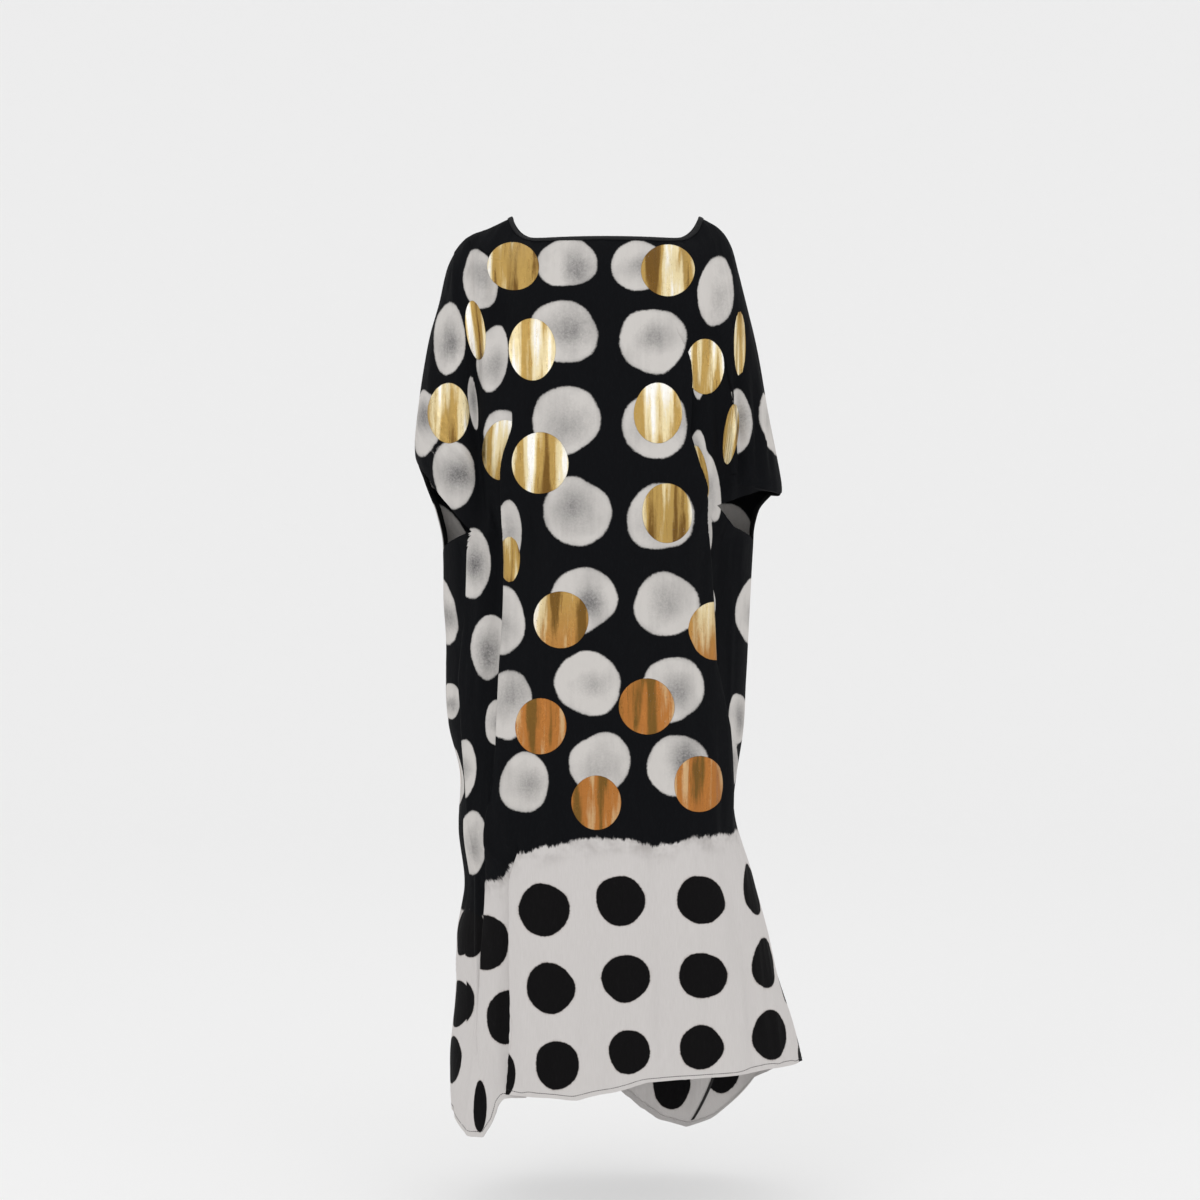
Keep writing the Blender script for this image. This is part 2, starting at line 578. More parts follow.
def dots_of(panel, charts, columns, rows, radius, seed, extra=()):
    """Every dot of one kind on one panel: the charted ones, then those of the plain repeat
    that none of the others already stands for."""
    rng = np.random.default_rng(seed + (7 if panel.side == "front" else 19))
    dots = []
    for x, height, half_width, half_height, *rest in charts.get(panel.side, ()):
        if half_width:
            dots.append(charted_dot(panel, x, height, half_width, half_height, *rest))
        else:
            dots.append(edged_dot(panel, x, height, radius, *rest))
    clear = CLEARANCE[panel.side] * radius
    wanted = [
        (column - 0.06 * (row + 600) + rng.uniform(-6, 6), row + rng.uniform(-7, 7))
        for row in rows for column in columns
    ]
    dots += [repeated_dot(panel, along, height, radius) for along, height in extra]
    charted = list(dots)
    for along, height in wanted:
        row = int(np.argmin(np.abs(panel.points[:, panel.points.shape[1] // 2, 2] - height)))
        if not panel.across[row, 0] - radius / 2 < along < panel.across[row, -1] + radius / 2:
            continue
        dot = repeated_dot(panel, along, height, radius)
        if all(np.linalg.norm(dot[3] - other[3]) > clear for other in charted):
            dots.append(dot)
    return dots


def dot_field(panel, dots, seed, wobble):
    """How far each vertex is from its nearest dot's middle, as a share of the way to its
    edge, a number of that dot's own, the soot gathered in a soft patch of it, and the
    vertex's place in it. Each outline swells and shrinks by slow waves round it."""
    rng = np.random.default_rng(seed + (0 if panel.side == "front" else 50))
    best = np.full(panel.across.shape, 3.0)
    own, soot = np.zeros(best.shape), np.zeros(best.shape)
    place = np.full((*best.shape, 2), 2.0)
    for u, v, away, _middle in dots:
        phases = rng.uniform(0, 2 * np.pi, 4)
        turn = np.arctan2(v, u)
        outline = 1 + wobble * sum(
            np.sin(k * turn + phases[n]) * (1.3 - 0.35 * n) for n, k in enumerate((2, 3, 4, 5))
        )
        share = away / outline
        closer = share < best
        best = np.where(closer, share, best)
        own = np.where(closer, rng.uniform(0, 1), own)
        cu, cv = rng.uniform(-0.15, 0.35), rng.uniform(-0.25, 0.25)
        wide, tall, much = rng.uniform(0.45, 0.8), rng.uniform(0.4, 0.7), rng.uniform(0.35, 1.0)
        patch = much * np.exp(-(((u - cu) / wide) ** 2) - ((v - cv) / tall) ** 2)
        soot = np.where(closer, patch, soot)
        place = np.where(closer[..., None], np.stack([u, v], axis=-1), place)
    return best, own, soot, place


def pattern_of(panel):
    """Everything the crepe's material reads off a panel's vertices."""
    side = panel.side
    grey = dots_of(panel, {"front": FRONT_GREY}, GREY_COLUMNS[side], GREY_ROWS, GREY_RADIUS, 1)
    black = dots_of(
        panel, {"front": FRONT_BLACK, "back": BACK_BLACK}, BLACK_COLUMNS[side], BLACK_ROWS,
        BLACK_RADIUS, 2, () if side == "front" else BACK_SEAM_BLACK)
    foil = dots_of(panel, {"front": FRONT_FOIL}, [], [], FOIL_RADIUS, 3, () if side == "front" else BACK_FOIL)
    grey_share, grey_own, soot, _place = dot_field(panel, grey, 11, 0.03)
    black_share = dot_field(panel, black, 22, 0.02)[0]
    foil_share, foil_own, _soot, foil_place = dot_field(panel, foil, 33, 0.006)
    turned = (panel.angles + 540) % 360 - 180
    line = np.interp(turned, *np.array(DYE_LINE, float).T)
    height = panel.points[..., 2]
    numbers = {
        "grey_dot": grey_share,
        "grey_own": grey_own,
        "grey_soot": soot,
        "black_dot": black_share,
        "foil_dot": foil_share,
        "foil_own": foil_own,
        "foil_lift": np.interp(height, *np.array(FOIL_LIFT, float).T),
        "foil_warm": smooth((-520 - height) / 200),
        "dye_height": (height - line) * MM,
    }
    return numbers, np.clip(foil_place, -2, 2) * FOIL_RADIUS * MM


# ---- Building blocks for meshes ------------------------------------------------
def new_object(name, vertices, faces, materials, face_slots=None, smooth_faces=True):
    """A mesh object at the origin from whole arrays: vertices in millimetres, faces as
    arrays of corner indices."""
    mesh = bpy.data.meshes.new(name)
    corners = faces if isinstance(faces, list) else faces.tolist()
    mesh.from_pydata((np.asarray(vertices, float) * MM).tolist(), [], corners)
    mesh.validate()
    for material in materials:
        mesh.materials.append(material)
    if face_slots is not None:
        mesh.polygons.foreach_set("material_index", np.asarray(face_slots, np.int32))
    mesh.polygons.foreach_set("use_smooth", np.full(len(mesh.polygons), smooth_faces))
    mesh.update()
    piece = bpy.data.objects.new(name, mesh)
    bpy.context.scene.collection.objects.link(piece)
    return piece


def wall_faces(grid):
    """Faces of a closed wall between an outer and an inner grid of the same size, all of
    them outward: those of the outside, the inside and the rim. Each cell is split along
    the shorter of its two diagonals."""
    rows, columns = grid.shape[:2]
    index = np.arange(rows * columns).reshape(rows, columns)
    a, b, c, d = index[:-1, :-1], index[1:, :-1], index[1:, 1:], index[:-1, 1:]
    falling = np.linalg.norm(grid[:-1, :-1] - grid[1:, 1:], axis=2)
    rising = np.linalg.norm(grid[1:, :-1] - grid[:-1, 1:], axis=2)
    fall = (falling <= rising)[..., None]
    one = np.where(fall, np.stack([a, b, c], axis=-1), np.stack([a, b, d], axis=-1))
    two = np.where(fall, np.stack([a, c, d], axis=-1), np.stack([b, c, d], axis=-1))
    outer = np.concatenate([one.reshape(-1, 3), two.reshape(-1, 3)])
    deep = rows * columns
    inner = outer[:, ::-1] + deep

    def rim(line, backwards):
        p, q = line[:-1], line[1:]
        halves = np.concatenate([
            np.stack([p, p + deep, q + deep], axis=-1), np.stack([p, q + deep, q], axis=-1),
        ])
        return halves[:, ::-1] if backwards else halves

    rims = np.concatenate([
        rim(index[:, 0], False), rim(index[:, -1], True), rim(index[0], True), rim(index[-1], False),
    ])
    return outer, inner, rims


def give_uv(piece, name, per_vertex):
    """A UV map from one pair of numbers for each vertex."""
    mesh = piece.data
    corners = np.empty(len(mesh.loops), np.int32)
    mesh.loops.foreach_get("vertex_index", corners)
    layer = mesh.uv_layers.new(name=name)
    layer.data.foreach_set("uv", np.asarray(per_vertex, np.float32)[corners].ravel())


def give_number(piece, name, per_vertex):
    """A named number on every vertex, for materials to read."""
    layer = piece.data.attributes.new(name, "FLOAT", "POINT")
    layer.data.foreach_set("value", np.asarray(per_vertex, np.float32).ravel())


def grid_wall(name, grid, normals, outside, inside, materials, across, drop, rim_slot=0):
    """A closed wall about a grid, from outside to inside millimetres off it along its
    normals, with the cloth's own coordinates as its UV map."""
    vertices = np.concatenate([
        (grid + normals * outside).reshape(-1, 3), (grid + normals * inside).reshape(-1, 3),
    ])
    outer, inner, rims = wall_faces(grid)
    slots = np.concatenate([
        np.zeros(len(outer), int),
        np.full(len(inner), min(1, len(materials) - 1)),
        np.full(len(rims), rim_slot),
    ])
    piece = new_object(name, vertices, np.concatenate([outer, inner, rims]), materials, slots)
    flat = np.stack([across, drop], axis=-1).reshape(-1, 2) * MM
    give_uv(piece, "Cloth", np.concatenate([flat, flat]))
    return piece


def seam_normals(front, back):
    """Normals of both panels, shared where a side seam joins them."""
    n_front, n_back = front.normals(front.points), back.normals(back.points)
    for i, section in enumerate(front.sections):
        if section.v <= CUFF or section.v >= UNDERARM:
            for a, b in ((0, -1), (-1, 0)):
                both = n_front[i, a] + n_back[i, b]
                both /= np.linalg.norm(both)
                n_front[i, a] = n_back[i, b] = both
    return {"front": n_front, "back": n_back}


NORMALS = seam_normals(PANELS["front"], PANELS["back"])


# ---- Materials -------------------------------------------------------------------
def nodes_of(tree):
    """Short ways to add a node, join sockets and do sums in a node tree."""
    def add(kind, **settings):
        node = tree.nodes.new(kind)
        for key, value in settings.items():
            setattr(node, key, value)
        return node

    def join(source, target):
        if isinstance(source, bpy.types.NodeSocket):
            tree.links.new(source, target)
        else:
            target.default_value = source

    def sum_(operation, *values, clamp=False):
        node = add("ShaderNodeMath", operation=operation, use_clamp=clamp)
        for i, value in enumerate(values):
            join(value, node.inputs[i])
        return node.outputs[0]

    def spread(value, low, high, out_low=0.0, out_high=1.0, kind="SMOOTHSTEP"):
        node = add("ShaderNodeMapRange", interpolation_type=kind)
        for key, item in (("Value", value), ("From Min", low), ("From Max", high),
                          ("To Min", out_low), ("To Max", out_high)):
            join(item, node.inputs[key])
        return node.outputs["Result"]

    def blend(share, first, second):
        node = add("ShaderNodeMix", data_type="RGBA")
        join(share, node.inputs[0])
        join(first, node.inputs[6])
        join(second, node.inputs[7])
        return node.outputs[2]

    def noise(vector, scale, detail=2.0, roughness=0.5, distortion=0.0):
        node = add("ShaderNodeTexNoise")
        join(vector, node.inputs["Vector"])
        node.inputs["Scale"].default_value = scale
        node.inputs["Detail"].default_value = detail
        node.inputs["Roughness"].default_value = roughness
        node.inputs["Distortion"].default_value = distortion
        return node.outputs["Fac"]

    def scaled(vector, scale, shift=None):
        node = add("ShaderNodeVectorMath", operation="MULTIPLY")
        join(vector, node.inputs[0])
        node.inputs[1].default_value = scale
        if shift is None:
            return node.outputs[0]
        moved = add("ShaderNodeVectorMath", operation="ADD")
        join(node.outputs[0], moved.inputs[0])
        join(shift, moved.inputs[1])
        return moved.outputs[0]

    return add, join, sum_, spread, blend, noise, scaled


def new_group(name, inputs, outputs):
    """An empty shader node group with named sockets: (name, kind, default)."""
    group = bpy.data.node_groups.new(name, "ShaderNodeTree")
    for direction, sockets in (("INPUT", inputs), ("OUTPUT", outputs)):
        for socket_name, kind, value in sockets:
            socket = group.interface.new_socket(socket_name, in_out=direction, socket_type=kind)
            if value is not None:
                socket.default_value = value
    return group, group.nodes.new("NodeGroupInput"), group.nodes.new("NodeGroupOutput")


NUMBER, COLOUR, VECTOR = "NodeSocketFloat", "NodeSocketColor", "NodeSocketVector"


def linear(colour):
    """An sRGB colour in 0-255 as the linear one that shaders take."""
    out = [((c / 255 + 0.055) / 1.055) ** 2.4 if c > 10 else c / 255 / 12.92 for c in colour]
    return (*out, 1.0)


def dyed_dot_group():
    """A dot where dye took or was discharged: 1 inside, 0 outside, with an edge that noise
    bends and that fades over the softness."""
    group, given, put = new_group("Dyed Dot", [
        ("Share", NUMBER, 3.0), ("Cloth", VECTOR, None), ("Softness", NUMBER, 0.06),
        ("Raggedness", NUMBER, 0.05),
    ], [("Mask", NUMBER, None)])
    add, join, sum_, spread, blend, noise, scaled = nodes_of(group)
    cloth = given.outputs["Cloth"]
    coarse = noise(cloth, 46, 3, 0.6)
    fine = noise(cloth, 330, 2, 0.7)
    both = sum_("ADD", sum_("MULTIPLY", sum_("SUBTRACT", coarse, 0.5), 1.0),
                sum_("MULTIPLY", sum_("SUBTRACT", fine, 0.5), 0.6))
    share = sum_("ADD", given.outputs["Share"], sum_("MULTIPLY", both, given.outputs["Raggedness"]))
    near = sum_("SUBTRACT", 1.0, given.outputs["Softness"])
    far = sum_("ADD", 1.0, given.outputs["Softness"])
    join(spread(share, near, far, 1.0, 0.0), put.inputs["Mask"])
    return group


def smoke_group():
    """The grey of a discharged dot: pale, with soot-like clouds that gather in a patch of
    each dot's own, and faint creased streaks."""
    group, given, put = new_group("Smoky Grey", [
        ("Share", NUMBER, 0.0), ("Own", NUMBER, 0.0), ("Soot", NUMBER, 0.0), ("Cloth", VECTOR, None),
        ("Pale", COLOUR, (0.5, 0.5, 0.5, 1)), ("Dark", COLOUR, (0.1, 0.1, 0.1, 1)),
    ], [("Colour", COLOUR, None)])
    add, join, sum_, spread, blend, noise, scaled = nodes_of(group)
    cloth = given.outputs["Cloth"]
    shift = add("ShaderNodeCombineXYZ")
    join(sum_("MULTIPLY", given.outputs["Own"], 9.0), shift.inputs["Z"])
    place = scaled(cloth, (1, 1, 1), shift.outputs[0])
    clouds = sum_("SUBTRACT", noise(place, 17, 3, 0.5), 0.5)
    grain = sum_("SUBTRACT", noise(place, 300, 3, 0.75), 0.5)
    streaks = sum_("SUBTRACT", noise(scaled(cloth, (1, 0.12, 1), shift.outputs[0]), 120, 3, 0.6), 0.5)
    dark = sum_("MULTIPLY", given.outputs["Soot"], sum_("ADD", 0.8, sum_("MULTIPLY", grain, 1.1)))
    for part, share in ((clouds, 0.8), (streaks, 0.22), (grain, 0.12)):
        dark = sum_("ADD", dark, sum_("MULTIPLY", part, share))
    dark = sum_("ADD", dark, spread(given.outputs["Share"], 0.86, 1.02, 0.0, 0.18), clamp=True)
    join(blend(dark, given.outputs["Pale"], given.outputs["Dark"]), put.inputs["Colour"])
    return group


def crepe_group():
    """The relief of limp crepe: a fine pebbled grain over slack upright rumples."""
    group, given, put = new_group("Crepe Relief", [
        ("Cloth", VECTOR, None), ("Rumple", NUMBER, 1.0),
    ], [("Height", NUMBER, None), ("Grain", NUMBER, None)])
    add, join, sum_, spread, blend, noise, scaled = nodes_of(group)
    cloth = given.outputs["Cloth"]
    pebble = noise(cloth, 900, 2, 0.8)
    rumple = noise(scaled(cloth, (1, 0.16, 1)), 55, 3, 0.6, 0.3)
    slack = noise(scaled(cloth, (1, 0.4, 1)), 16, 2, 0.5)
    height = sum_("ADD", sum_("MULTIPLY", pebble, 0.00022),
                  sum_("MULTIPLY", given.outputs["Rumple"],
                       sum_("ADD", sum_("MULTIPLY", rumple, 0.0018), sum_("MULTIPLY", slack, 0.0022))))
    join(height, put.inputs["Height"])
    join(pebble, put.inputs["Grain"])
    return group


def foil_group():
    """Pressed foil: upright bands and streaks from deep to pale, with glints where it isn't
    warm, slight crinkles, and fine cracks that the cloth shows through."""
    group, given, put = new_group("Pressed Foil", [
        ("Share", NUMBER, 3.0), ("Own", NUMBER, 0.0), ("Cloth", VECTOR, None),
        ("Height", NUMBER, 0.0), ("Warm", NUMBER, 0.0),
        ("Light", COLOUR, (1, 0.9, 0.6, 1)), ("Gold", COLOUR, (0.55, 0.35, 0.1, 1)),
        ("Amber", COLOUR, (0.5, 0.2, 0.05, 1)),
        ("Deep", COLOUR, (0.25, 0.1, 0.02, 1)),
    ], [("Mask", NUMBER, None), ("Colour", COLOUR, None), ("Roughness", NUMBER, None),
        ("Relief", NUMBER, None)])
    add, join, sum_, spread, blend, noise, scaled = nodes_of(group)
    warm = given.outputs["Warm"]
    cloth = given.outputs["Cloth"]
    shift = add("ShaderNodeCombineXYZ")
    join(sum_("MULTIPLY", given.outputs["Own"], 13.0), shift.inputs["Z"])
    upright = scaled(cloth, (1, 0.11, 1), shift.outputs[0])
    bands = noise(upright, 42, 1.0, 0.45, 0.15)
    streaks = noise(upright, 170, 2, 0.5, 0.3)
    crinkles = noise(scaled(cloth, (1, 0.9, 1), shift.outputs[0]), 120, 4, 0.7, 1.6)
    level = sum_("ADD", sum_("MULTIPLY", bands, 0.78), sum_("MULTIPLY", streaks, 0.18))
    level = sum_("ADD", level, sum_("MULTIPLY", crinkles, 0.05))
    level = sum_("ADD", level, given.outputs["Height"])
    gold = blend(warm, given.outputs["Gold"], given.outputs["Amber"])
    pale = blend(sum_("MULTIPLY", warm, 0.6), given.outputs["Light"], gold)
    glint = sum_("MULTIPLY", spread(level, 0.6, 0.68), sum_("SUBTRACT", 1.0, warm))
    tone = blend(spread(level, 0.38, 0.47), given.outputs["Deep"], gold)
    tone = blend(spread(level, 0.51, 0.6), tone, pale)
    tone = blend(glint, tone, (1.0, 0.98, 0.93, 1.0))
    edge = spread(sum_("ADD", given.outputs["Share"], sum_("MULTIPLY", crinkles, 0.012)), 0.985, 1.005, 1.0, 0.0)
    cracks = spread(noise(cloth, 420, 2, 0.6), 0.27, 0.31)
    join(sum_("MULTIPLY", edge, cracks), put.inputs["Mask"])
    join(tone, put.inputs["Colour"])
    join(spread(streaks, 0.3, 0.7, 0.26, 0.42), put.inputs["Roughness"])
    join(sum_("ADD", sum_("MULTIPLY", streaks, 0.0009), sum_("MULTIPLY", crinkles, 0.0011)), put.inputs["Relief"])
    return group


def dye_edge_group():
    """Where the black dye stops: 1 in the black, 0 in the undyed cloth, with a frayed line
    that creeps down the threads and faint smudges below it."""
    group, given, put = new_group("Dye Edge", [
        ("Height", NUMBER, 0.0), ("Cloth", VECTOR, None),
    ], [("Black", NUMBER, None), ("Smudge", NUMBER, None)])
    add, join, sum_, spread, blend, noise, scaled = nodes_of(group)
    cloth = given.outputs["Cloth"]
    wander = noise(scaled(cloth, (1, 0.2, 1)), 34, 2, 0.5)
    fray = noise(scaled(cloth, (1, 0.35, 1)), 210, 3, 0.7)
    line = sum_("ADD", given.outputs["Height"], sum_("MULTIPLY", sum_("SUBTRACT", wander, 0.5), 0.022))
    line = sum_("ADD", line, sum_("MULTIPLY", sum_("SUBTRACT", fray, 0.5), 0.016))
    join(spread(line, -0.0025, 0.0025), put.inputs["Black"])
    cloud = noise(cloth, 30, 3, 0.6)
    reach = spread(line, -0.05, 0.0, 0.0, 1.0)
    join(sum_("MULTIPLY", sum_("POWER", reach, 2.2), spread(cloud, 0.38, 0.7)), put.inputs["Smudge"])
    return group


GROUPS = {}


def shared_groups():
    """The node groups, built once for all materials."""
    if not GROUPS:
        GROUPS.update(
            dot=dyed_dot_group(), smoke=smoke_group(), crepe=crepe_group(),
            foil=foil_group(), dye=dye_edge_group(),
        )
    return GROUPS


def start_material(name):
    material = bpy.data.materials.new(name)
    material.use_nodes = True
    tree = material.node_tree
    surface = tree.nodes["Principled BSDF"]
    return material, tree, surface


def use_group(tree, group, **inputs):
    node = tree.nodes.new("ShaderNodeGroup")
    node.node_tree = group
    for key, value in inputs.items():
        socket = node.inputs[key.replace("_", " ")]
        if isinstance(value, bpy.types.NodeSocket):
            tree.links.new(value, socket)
        else:
            socket.default_value = value
    return node


def cloth_place(tree, name="Cloth"):
    node = tree.nodes.new("ShaderNodeUVMap")
    node.uv_map = name
    return node.outputs["UV"]


def vertex_number(tree, name):
    node = tree.nodes.new("ShaderNodeAttribute")
    node.attribute_name = name
    return node.outputs["Fac"]


def add_relief(tree, surface, height, distance=1.0, strength=1.0):
    bump = tree.nodes.new("ShaderNodeBump")
    bump.inputs["Strength"].default_value = strength
    bump.inputs["Distance"].default_value = distance
    tree.links.new(height, bump.inputs["Height"])
    tree.links.new(bump.outputs["Normal"], surface.inputs["Normal"])


def crepe_material(name, settings, with_foil):
    """Dyed crepe. The dye line parts black from undyed cloth; discharged grey dots show in
    the black, printed black dots in the undyed, and foil discs lie over both outside."""
    material, tree, surface = start_material(name)
    groups = shared_groups()
    add, join, sum_, spread, blend, noise, scaled = nodes_of(tree)
    cloth = cloth_place(tree)
    black, undyed = linear(settings.black_rgb), linear(settings.undyed_rgb)
    grey_share = vertex_number(tree, "grey_dot")
    black_share = vertex_number(tree, "black_dot")
    dye = use_group(tree, groups["dye"], Height=vertex_number(tree, "dye_height"), Cloth=cloth)
    grey = use_group(tree, groups["dot"], Share=grey_share, Cloth=cloth, Softness=0.035, Raggedness=0.1)
    smoke = use_group(
        tree, groups["smoke"], Share=grey_share, Own=vertex_number(tree, "grey_own"),
        Soot=vertex_number(tree, "grey_soot"),
        Cloth=cloth, Pale=linear(settings.grey_rgb), Dark=linear((72, 72, 75)),
    )
    spot = use_group(tree, groups["dot"], Share=black_share, Cloth=cloth, Softness=0.022, Raggedness=0.09)
    halo = use_group(tree, groups["dot"], Share=black_share, Cloth=cloth, Softness=0.1, Raggedness=0.2)
    relief = use_group(tree, groups["crepe"], Cloth=cloth, Rumple=1.0)
    upper = blend(grey.outputs["Mask"], black, smoke.outputs["Colour"])
    slub = noise(scaled(cloth, (1, 0.05, 1)), 900, 2, 0.6)
    lower = blend(spread(slub, 0.35, 0.65, 0.0, 0.12), undyed, linear((176, 171, 166)))
    lower = blend(sum_("MULTIPLY", dye.outputs["Smudge"], 0.45), lower, linear((120, 112, 108)))
    lower = blend(sum_("MULTIPLY", halo.outputs["Mask"], 0.5), lower, linear((120, 98, 84)))
    lower = blend(spot.outputs["Mask"], lower, linear((15, 14, 15)))
    colour = blend(dye.outputs["Black"], lower, upper)
    height = relief.outputs["Height"]
    if with_foil:
        foil = use_group(
            tree, groups["foil"], Share=vertex_number(tree, "foil_dot"),
            Own=vertex_number(tree, "foil_own"), Cloth=cloth_place(tree, "Foil"),
            Height=vertex_number(tree, "foil_lift"), Warm=vertex_number(tree, "foil_warm"),
            Light=linear(settings.foil_light_rgb), Gold=linear(settings.foil_gold_rgb),
            Amber=linear(settings.foil_amber_rgb), Deep=linear(settings.foil_deep_rgb),
        )
        colour = blend(foil.outputs["Mask"], colour, foil.outputs["Colour"])
        join(sum_("MULTIPLY", foil.outputs["Mask"], 0.8), surface.inputs["Metallic"])
        rough = add("ShaderNodeMix", data_type="FLOAT")
        join(foil.outputs["Mask"], rough.inputs[0])
        join(0.82, rough.inputs[2])
        join(foil.outputs["Roughness"], rough.inputs[3])
        join(rough.outputs[0], surface.inputs["Roughness"])
        height = sum_("ADD", height, sum_("MULTIPLY", foil.outputs["Mask"], foil.outputs["Relief"]))
    else:
        surface.inputs["Roughness"].default_value = 0.85
    join(colour, surface.inputs["Base Color"])
    surface.inputs["Specular IOR Level"].default_value = 0.08
    add_relief(tree, surface, height)
    return material


def plain_cloth_material(name, rgb, roughness, grain=0.0004):
    """Plain woven trim: one colour with a fine thread grain."""
    material, tree, surface = start_material(name)
    add, join, sum_, spread, blend, noise, scaled = nodes_of(tree)
    cloth = cloth_place(tree)
    threads = noise(cloth, 1100, 2, 0.7)
    dark = linear([0.72 * c for c in rgb])
    join(blend(spread(threads, 0.35, 0.65, 0.0, 0.6), linear(rgb), dark), surface.inputs["Base Color"])
    surface.inputs["Roughness"].default_value = roughness
    surface.inputs["Specular IOR Level"].default_value = 0.3
    add_relief(tree, surface, sum_("MULTIPLY", threads, grain))
    return material


def thread_material(name, rgb):
    """Sewing thread: a twisted strand seen as slanting stripes along its own length."""
    material, tree, surface = start_material(name)
    add, join, sum_, spread, blend, noise, scaled = nodes_of(tree)
    place = add("ShaderNodeTexCoord").outputs["Object"]
    twist = noise(place, 1600, 1, 0.5)
    dark = linear([0.6 * c for c in rgb])
    join(blend(spread(twist, 0.4, 0.6, 0.0, 0.5), linear(rgb), dark), surface.inputs["Base Color"])
    surface.inputs["Roughness"].default_value = 0.6
    return material


# ---- Pieces ------------------------------------------------------------------------
TURN_WALL = 0.9
TURN_CLEARANCE = 0.15


def turn_inset(settings):
    """How far behind a panel's middle surface a turned strip starts."""
    return settings.cloth_wall / MM / 2 + TURN_CLEARANCE


def carry(piece, node):
    """Puts a piece on the body, in place of its plain node, with its material slot."""
    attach(piece, "root")
    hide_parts(node)
    return piece


def build_panel(side, settings):
    """One panel of the cloth, 1.4 mm thick about its middle surface, dyed outside and in
    and foiled only outside."""
    panel = PANELS[side]
    name = f"{side}_cloth"
    outside = crepe_material(f"{side}_crepe", settings, True)
    inside = crepe_material(f"{side}_crepe_reverse", settings, False)
    half = settings.cloth_wall / MM / 2
    piece = grid_wall(
        name, panel.points, NORMALS[side], half, -half, [outside, inside], panel.across, panel.drop, 1,
    )
    numbers, foil_place = pattern_of(panel)
    flat = foil_place.reshape(-1, 2)
    give_uv(piece, "Foil", np.concatenate([flat, flat]))
    for key, values in numbers.items():
        give_number(piece, key, np.concatenate([values.ravel(), values.ravel()]))
    piece.data.set_sharp_from_angle(angle=math.radians(75))
    return carry(piece, f"{side}_panel")


BINDING_STEPS = 170
BINDING_AIM_ROW = 3


def build_binding(settings):
    """The neck binding: a U folded over the neck edge of both panels, each leg 6.5 mm
    deep, swept once round the neck and slightly puckered by its stitches."""
    wide, wall, clear = settings.binding_width / MM, 1.0, 0.85
    rings = []
    for side in ("front", "back"):
        panel, normals = PANELS[side], NORMALS[side]
        run = running_length(panel.points[0])
        at = np.linspace(0, run[-1], BINDING_STEPS, endpoint=False)
        row = resampled(at, run, panel.points[0])
        below = resampled(at, run, panel.points[BINDING_AIM_ROW])
        rings.append((row, below - row, resampled(at, run, normals[0])))
    row, down, out = (np.concatenate(parts) for parts in zip(*rings))
    for _ in range(3):
        down = (np.roll(down, 1, 0) + 2 * down + np.roll(down, -1, 0)) / 4
        out = (np.roll(out, 1, 0) + 2 * out + np.roll(out, -1, 0)) / 4
    down = unit(down)
    out = unit(out - down * np.sum(out * down, axis=1, keepdims=True))
    step = np.linalg.norm(np.roll(row, -1, 0) - row, axis=1)
    along = np.concatenate([[0], np.cumsum(step)[:-1]])
    pucker = 0.22 * np.sin(2 * np.pi * along / 7.0) + 0.15 * np.sin(2 * np.pi * along / 17.0 + 1)
    # Section: how far out from the cloth and how far down from its edge.
    bend = np.radians(np.linspace(0, 180, 9))
    big, small = clear + wall, clear
    profile = [(big, wide, 0.3), (big + 0.25, wide * 0.5, 1.0), (big, 0.0, 0.6)]
    profile += [(big * math.cos(t), -big * math.sin(t), 0.3) for t in bend[1:-1]]
    profile += [(-big, 0.0, 0.6), (-big - 0.25, wide * 0.5, 1.0), (-big, wide, 0.3)]
    profile += [(-small, wide, 0.0), (-small, 0.0, 0.0)]
    profile += [(small * math.cos(t), -small * math.sin(t), 0.0) for t in bend[::-1][1:-1]]
    profile += [(small, 0.0, 0.0), (small, wide, 0.0)]
    section = np.array(profile)
    away, fall, puckered = section.T[:, None]
    offset_out = away + np.sign(away) * puckered * pucker[:, None]
    vertices = row[:, None] + out[:, None] * offset_out[..., None] + down[:, None] * fall[..., None]
    rings_, points_ = vertices.shape[:2]
    index = np.arange(rings_ * points_).reshape(rings_, points_)
    nxt = np.roll(index, -1, axis=0)
    faces = np.stack([index, np.roll(index, -1, 1), np.roll(nxt, -1, 1), nxt], axis=-1).reshape(-1, 4)
    material = plain_cloth_material("bias_binding", settings.black_rgb, 0.7)
    piece = new_object("neck_binding_cloth", vertices.reshape(-1, 3), faces, [material])
    flow = running_length(section[:, :2])
    flat = np.stack(np.broadcast_arrays(along[:, None], flow[None, :]), axis=-1)
    give_uv(piece, "Cloth", flat.reshape(-1, 2) * MM)
    face_outwards(piece)
    return carry(piece, "neck_binding")


def face_outwards(piece):
    """Turns a closed mesh right side out, so that its signed volume is positive."""
    mesh = piece.data
    mesh.calc_loop_triangles()
    corners = np.empty(len(mesh.loop_triangles) * 3, np.int32)
    mesh.loop_triangles.foreach_get("vertices", corners)
    places = np.empty(len(mesh.vertices) * 3)
    mesh.vertices.foreach_get("co", places)
    a, b, c = places.reshape(-1, 3)[corners.reshape(-1, 3)].transpose(1, 0, 2)
    if np.sum(a * np.cross(b, c)) < 0:
        mesh.flip_normals()


def rows_near_hem(panel, depth, rows):
    """A fresh grid of a panel's lowest stretch, this deep up from the hem: rows of points and
    their outward normals."""
    points, normals = panel.points, NORMALS[panel.side]
    up = points[::-1]
    run = running_length(up)
    wanted = np.linspace(0, depth, rows)
    grid = np.empty((rows, up.shape[1], 3))
    turned = np.empty_like(grid)
    for j in range(up.shape[1]):
        grid[:, j] = resampled(wanted, run[:, j], up[:, j])
        turned[:, j] = resampled(wanted, run[:, j], normals[::-1, j])
    return grid[::-1], unit(turned)[::-1]


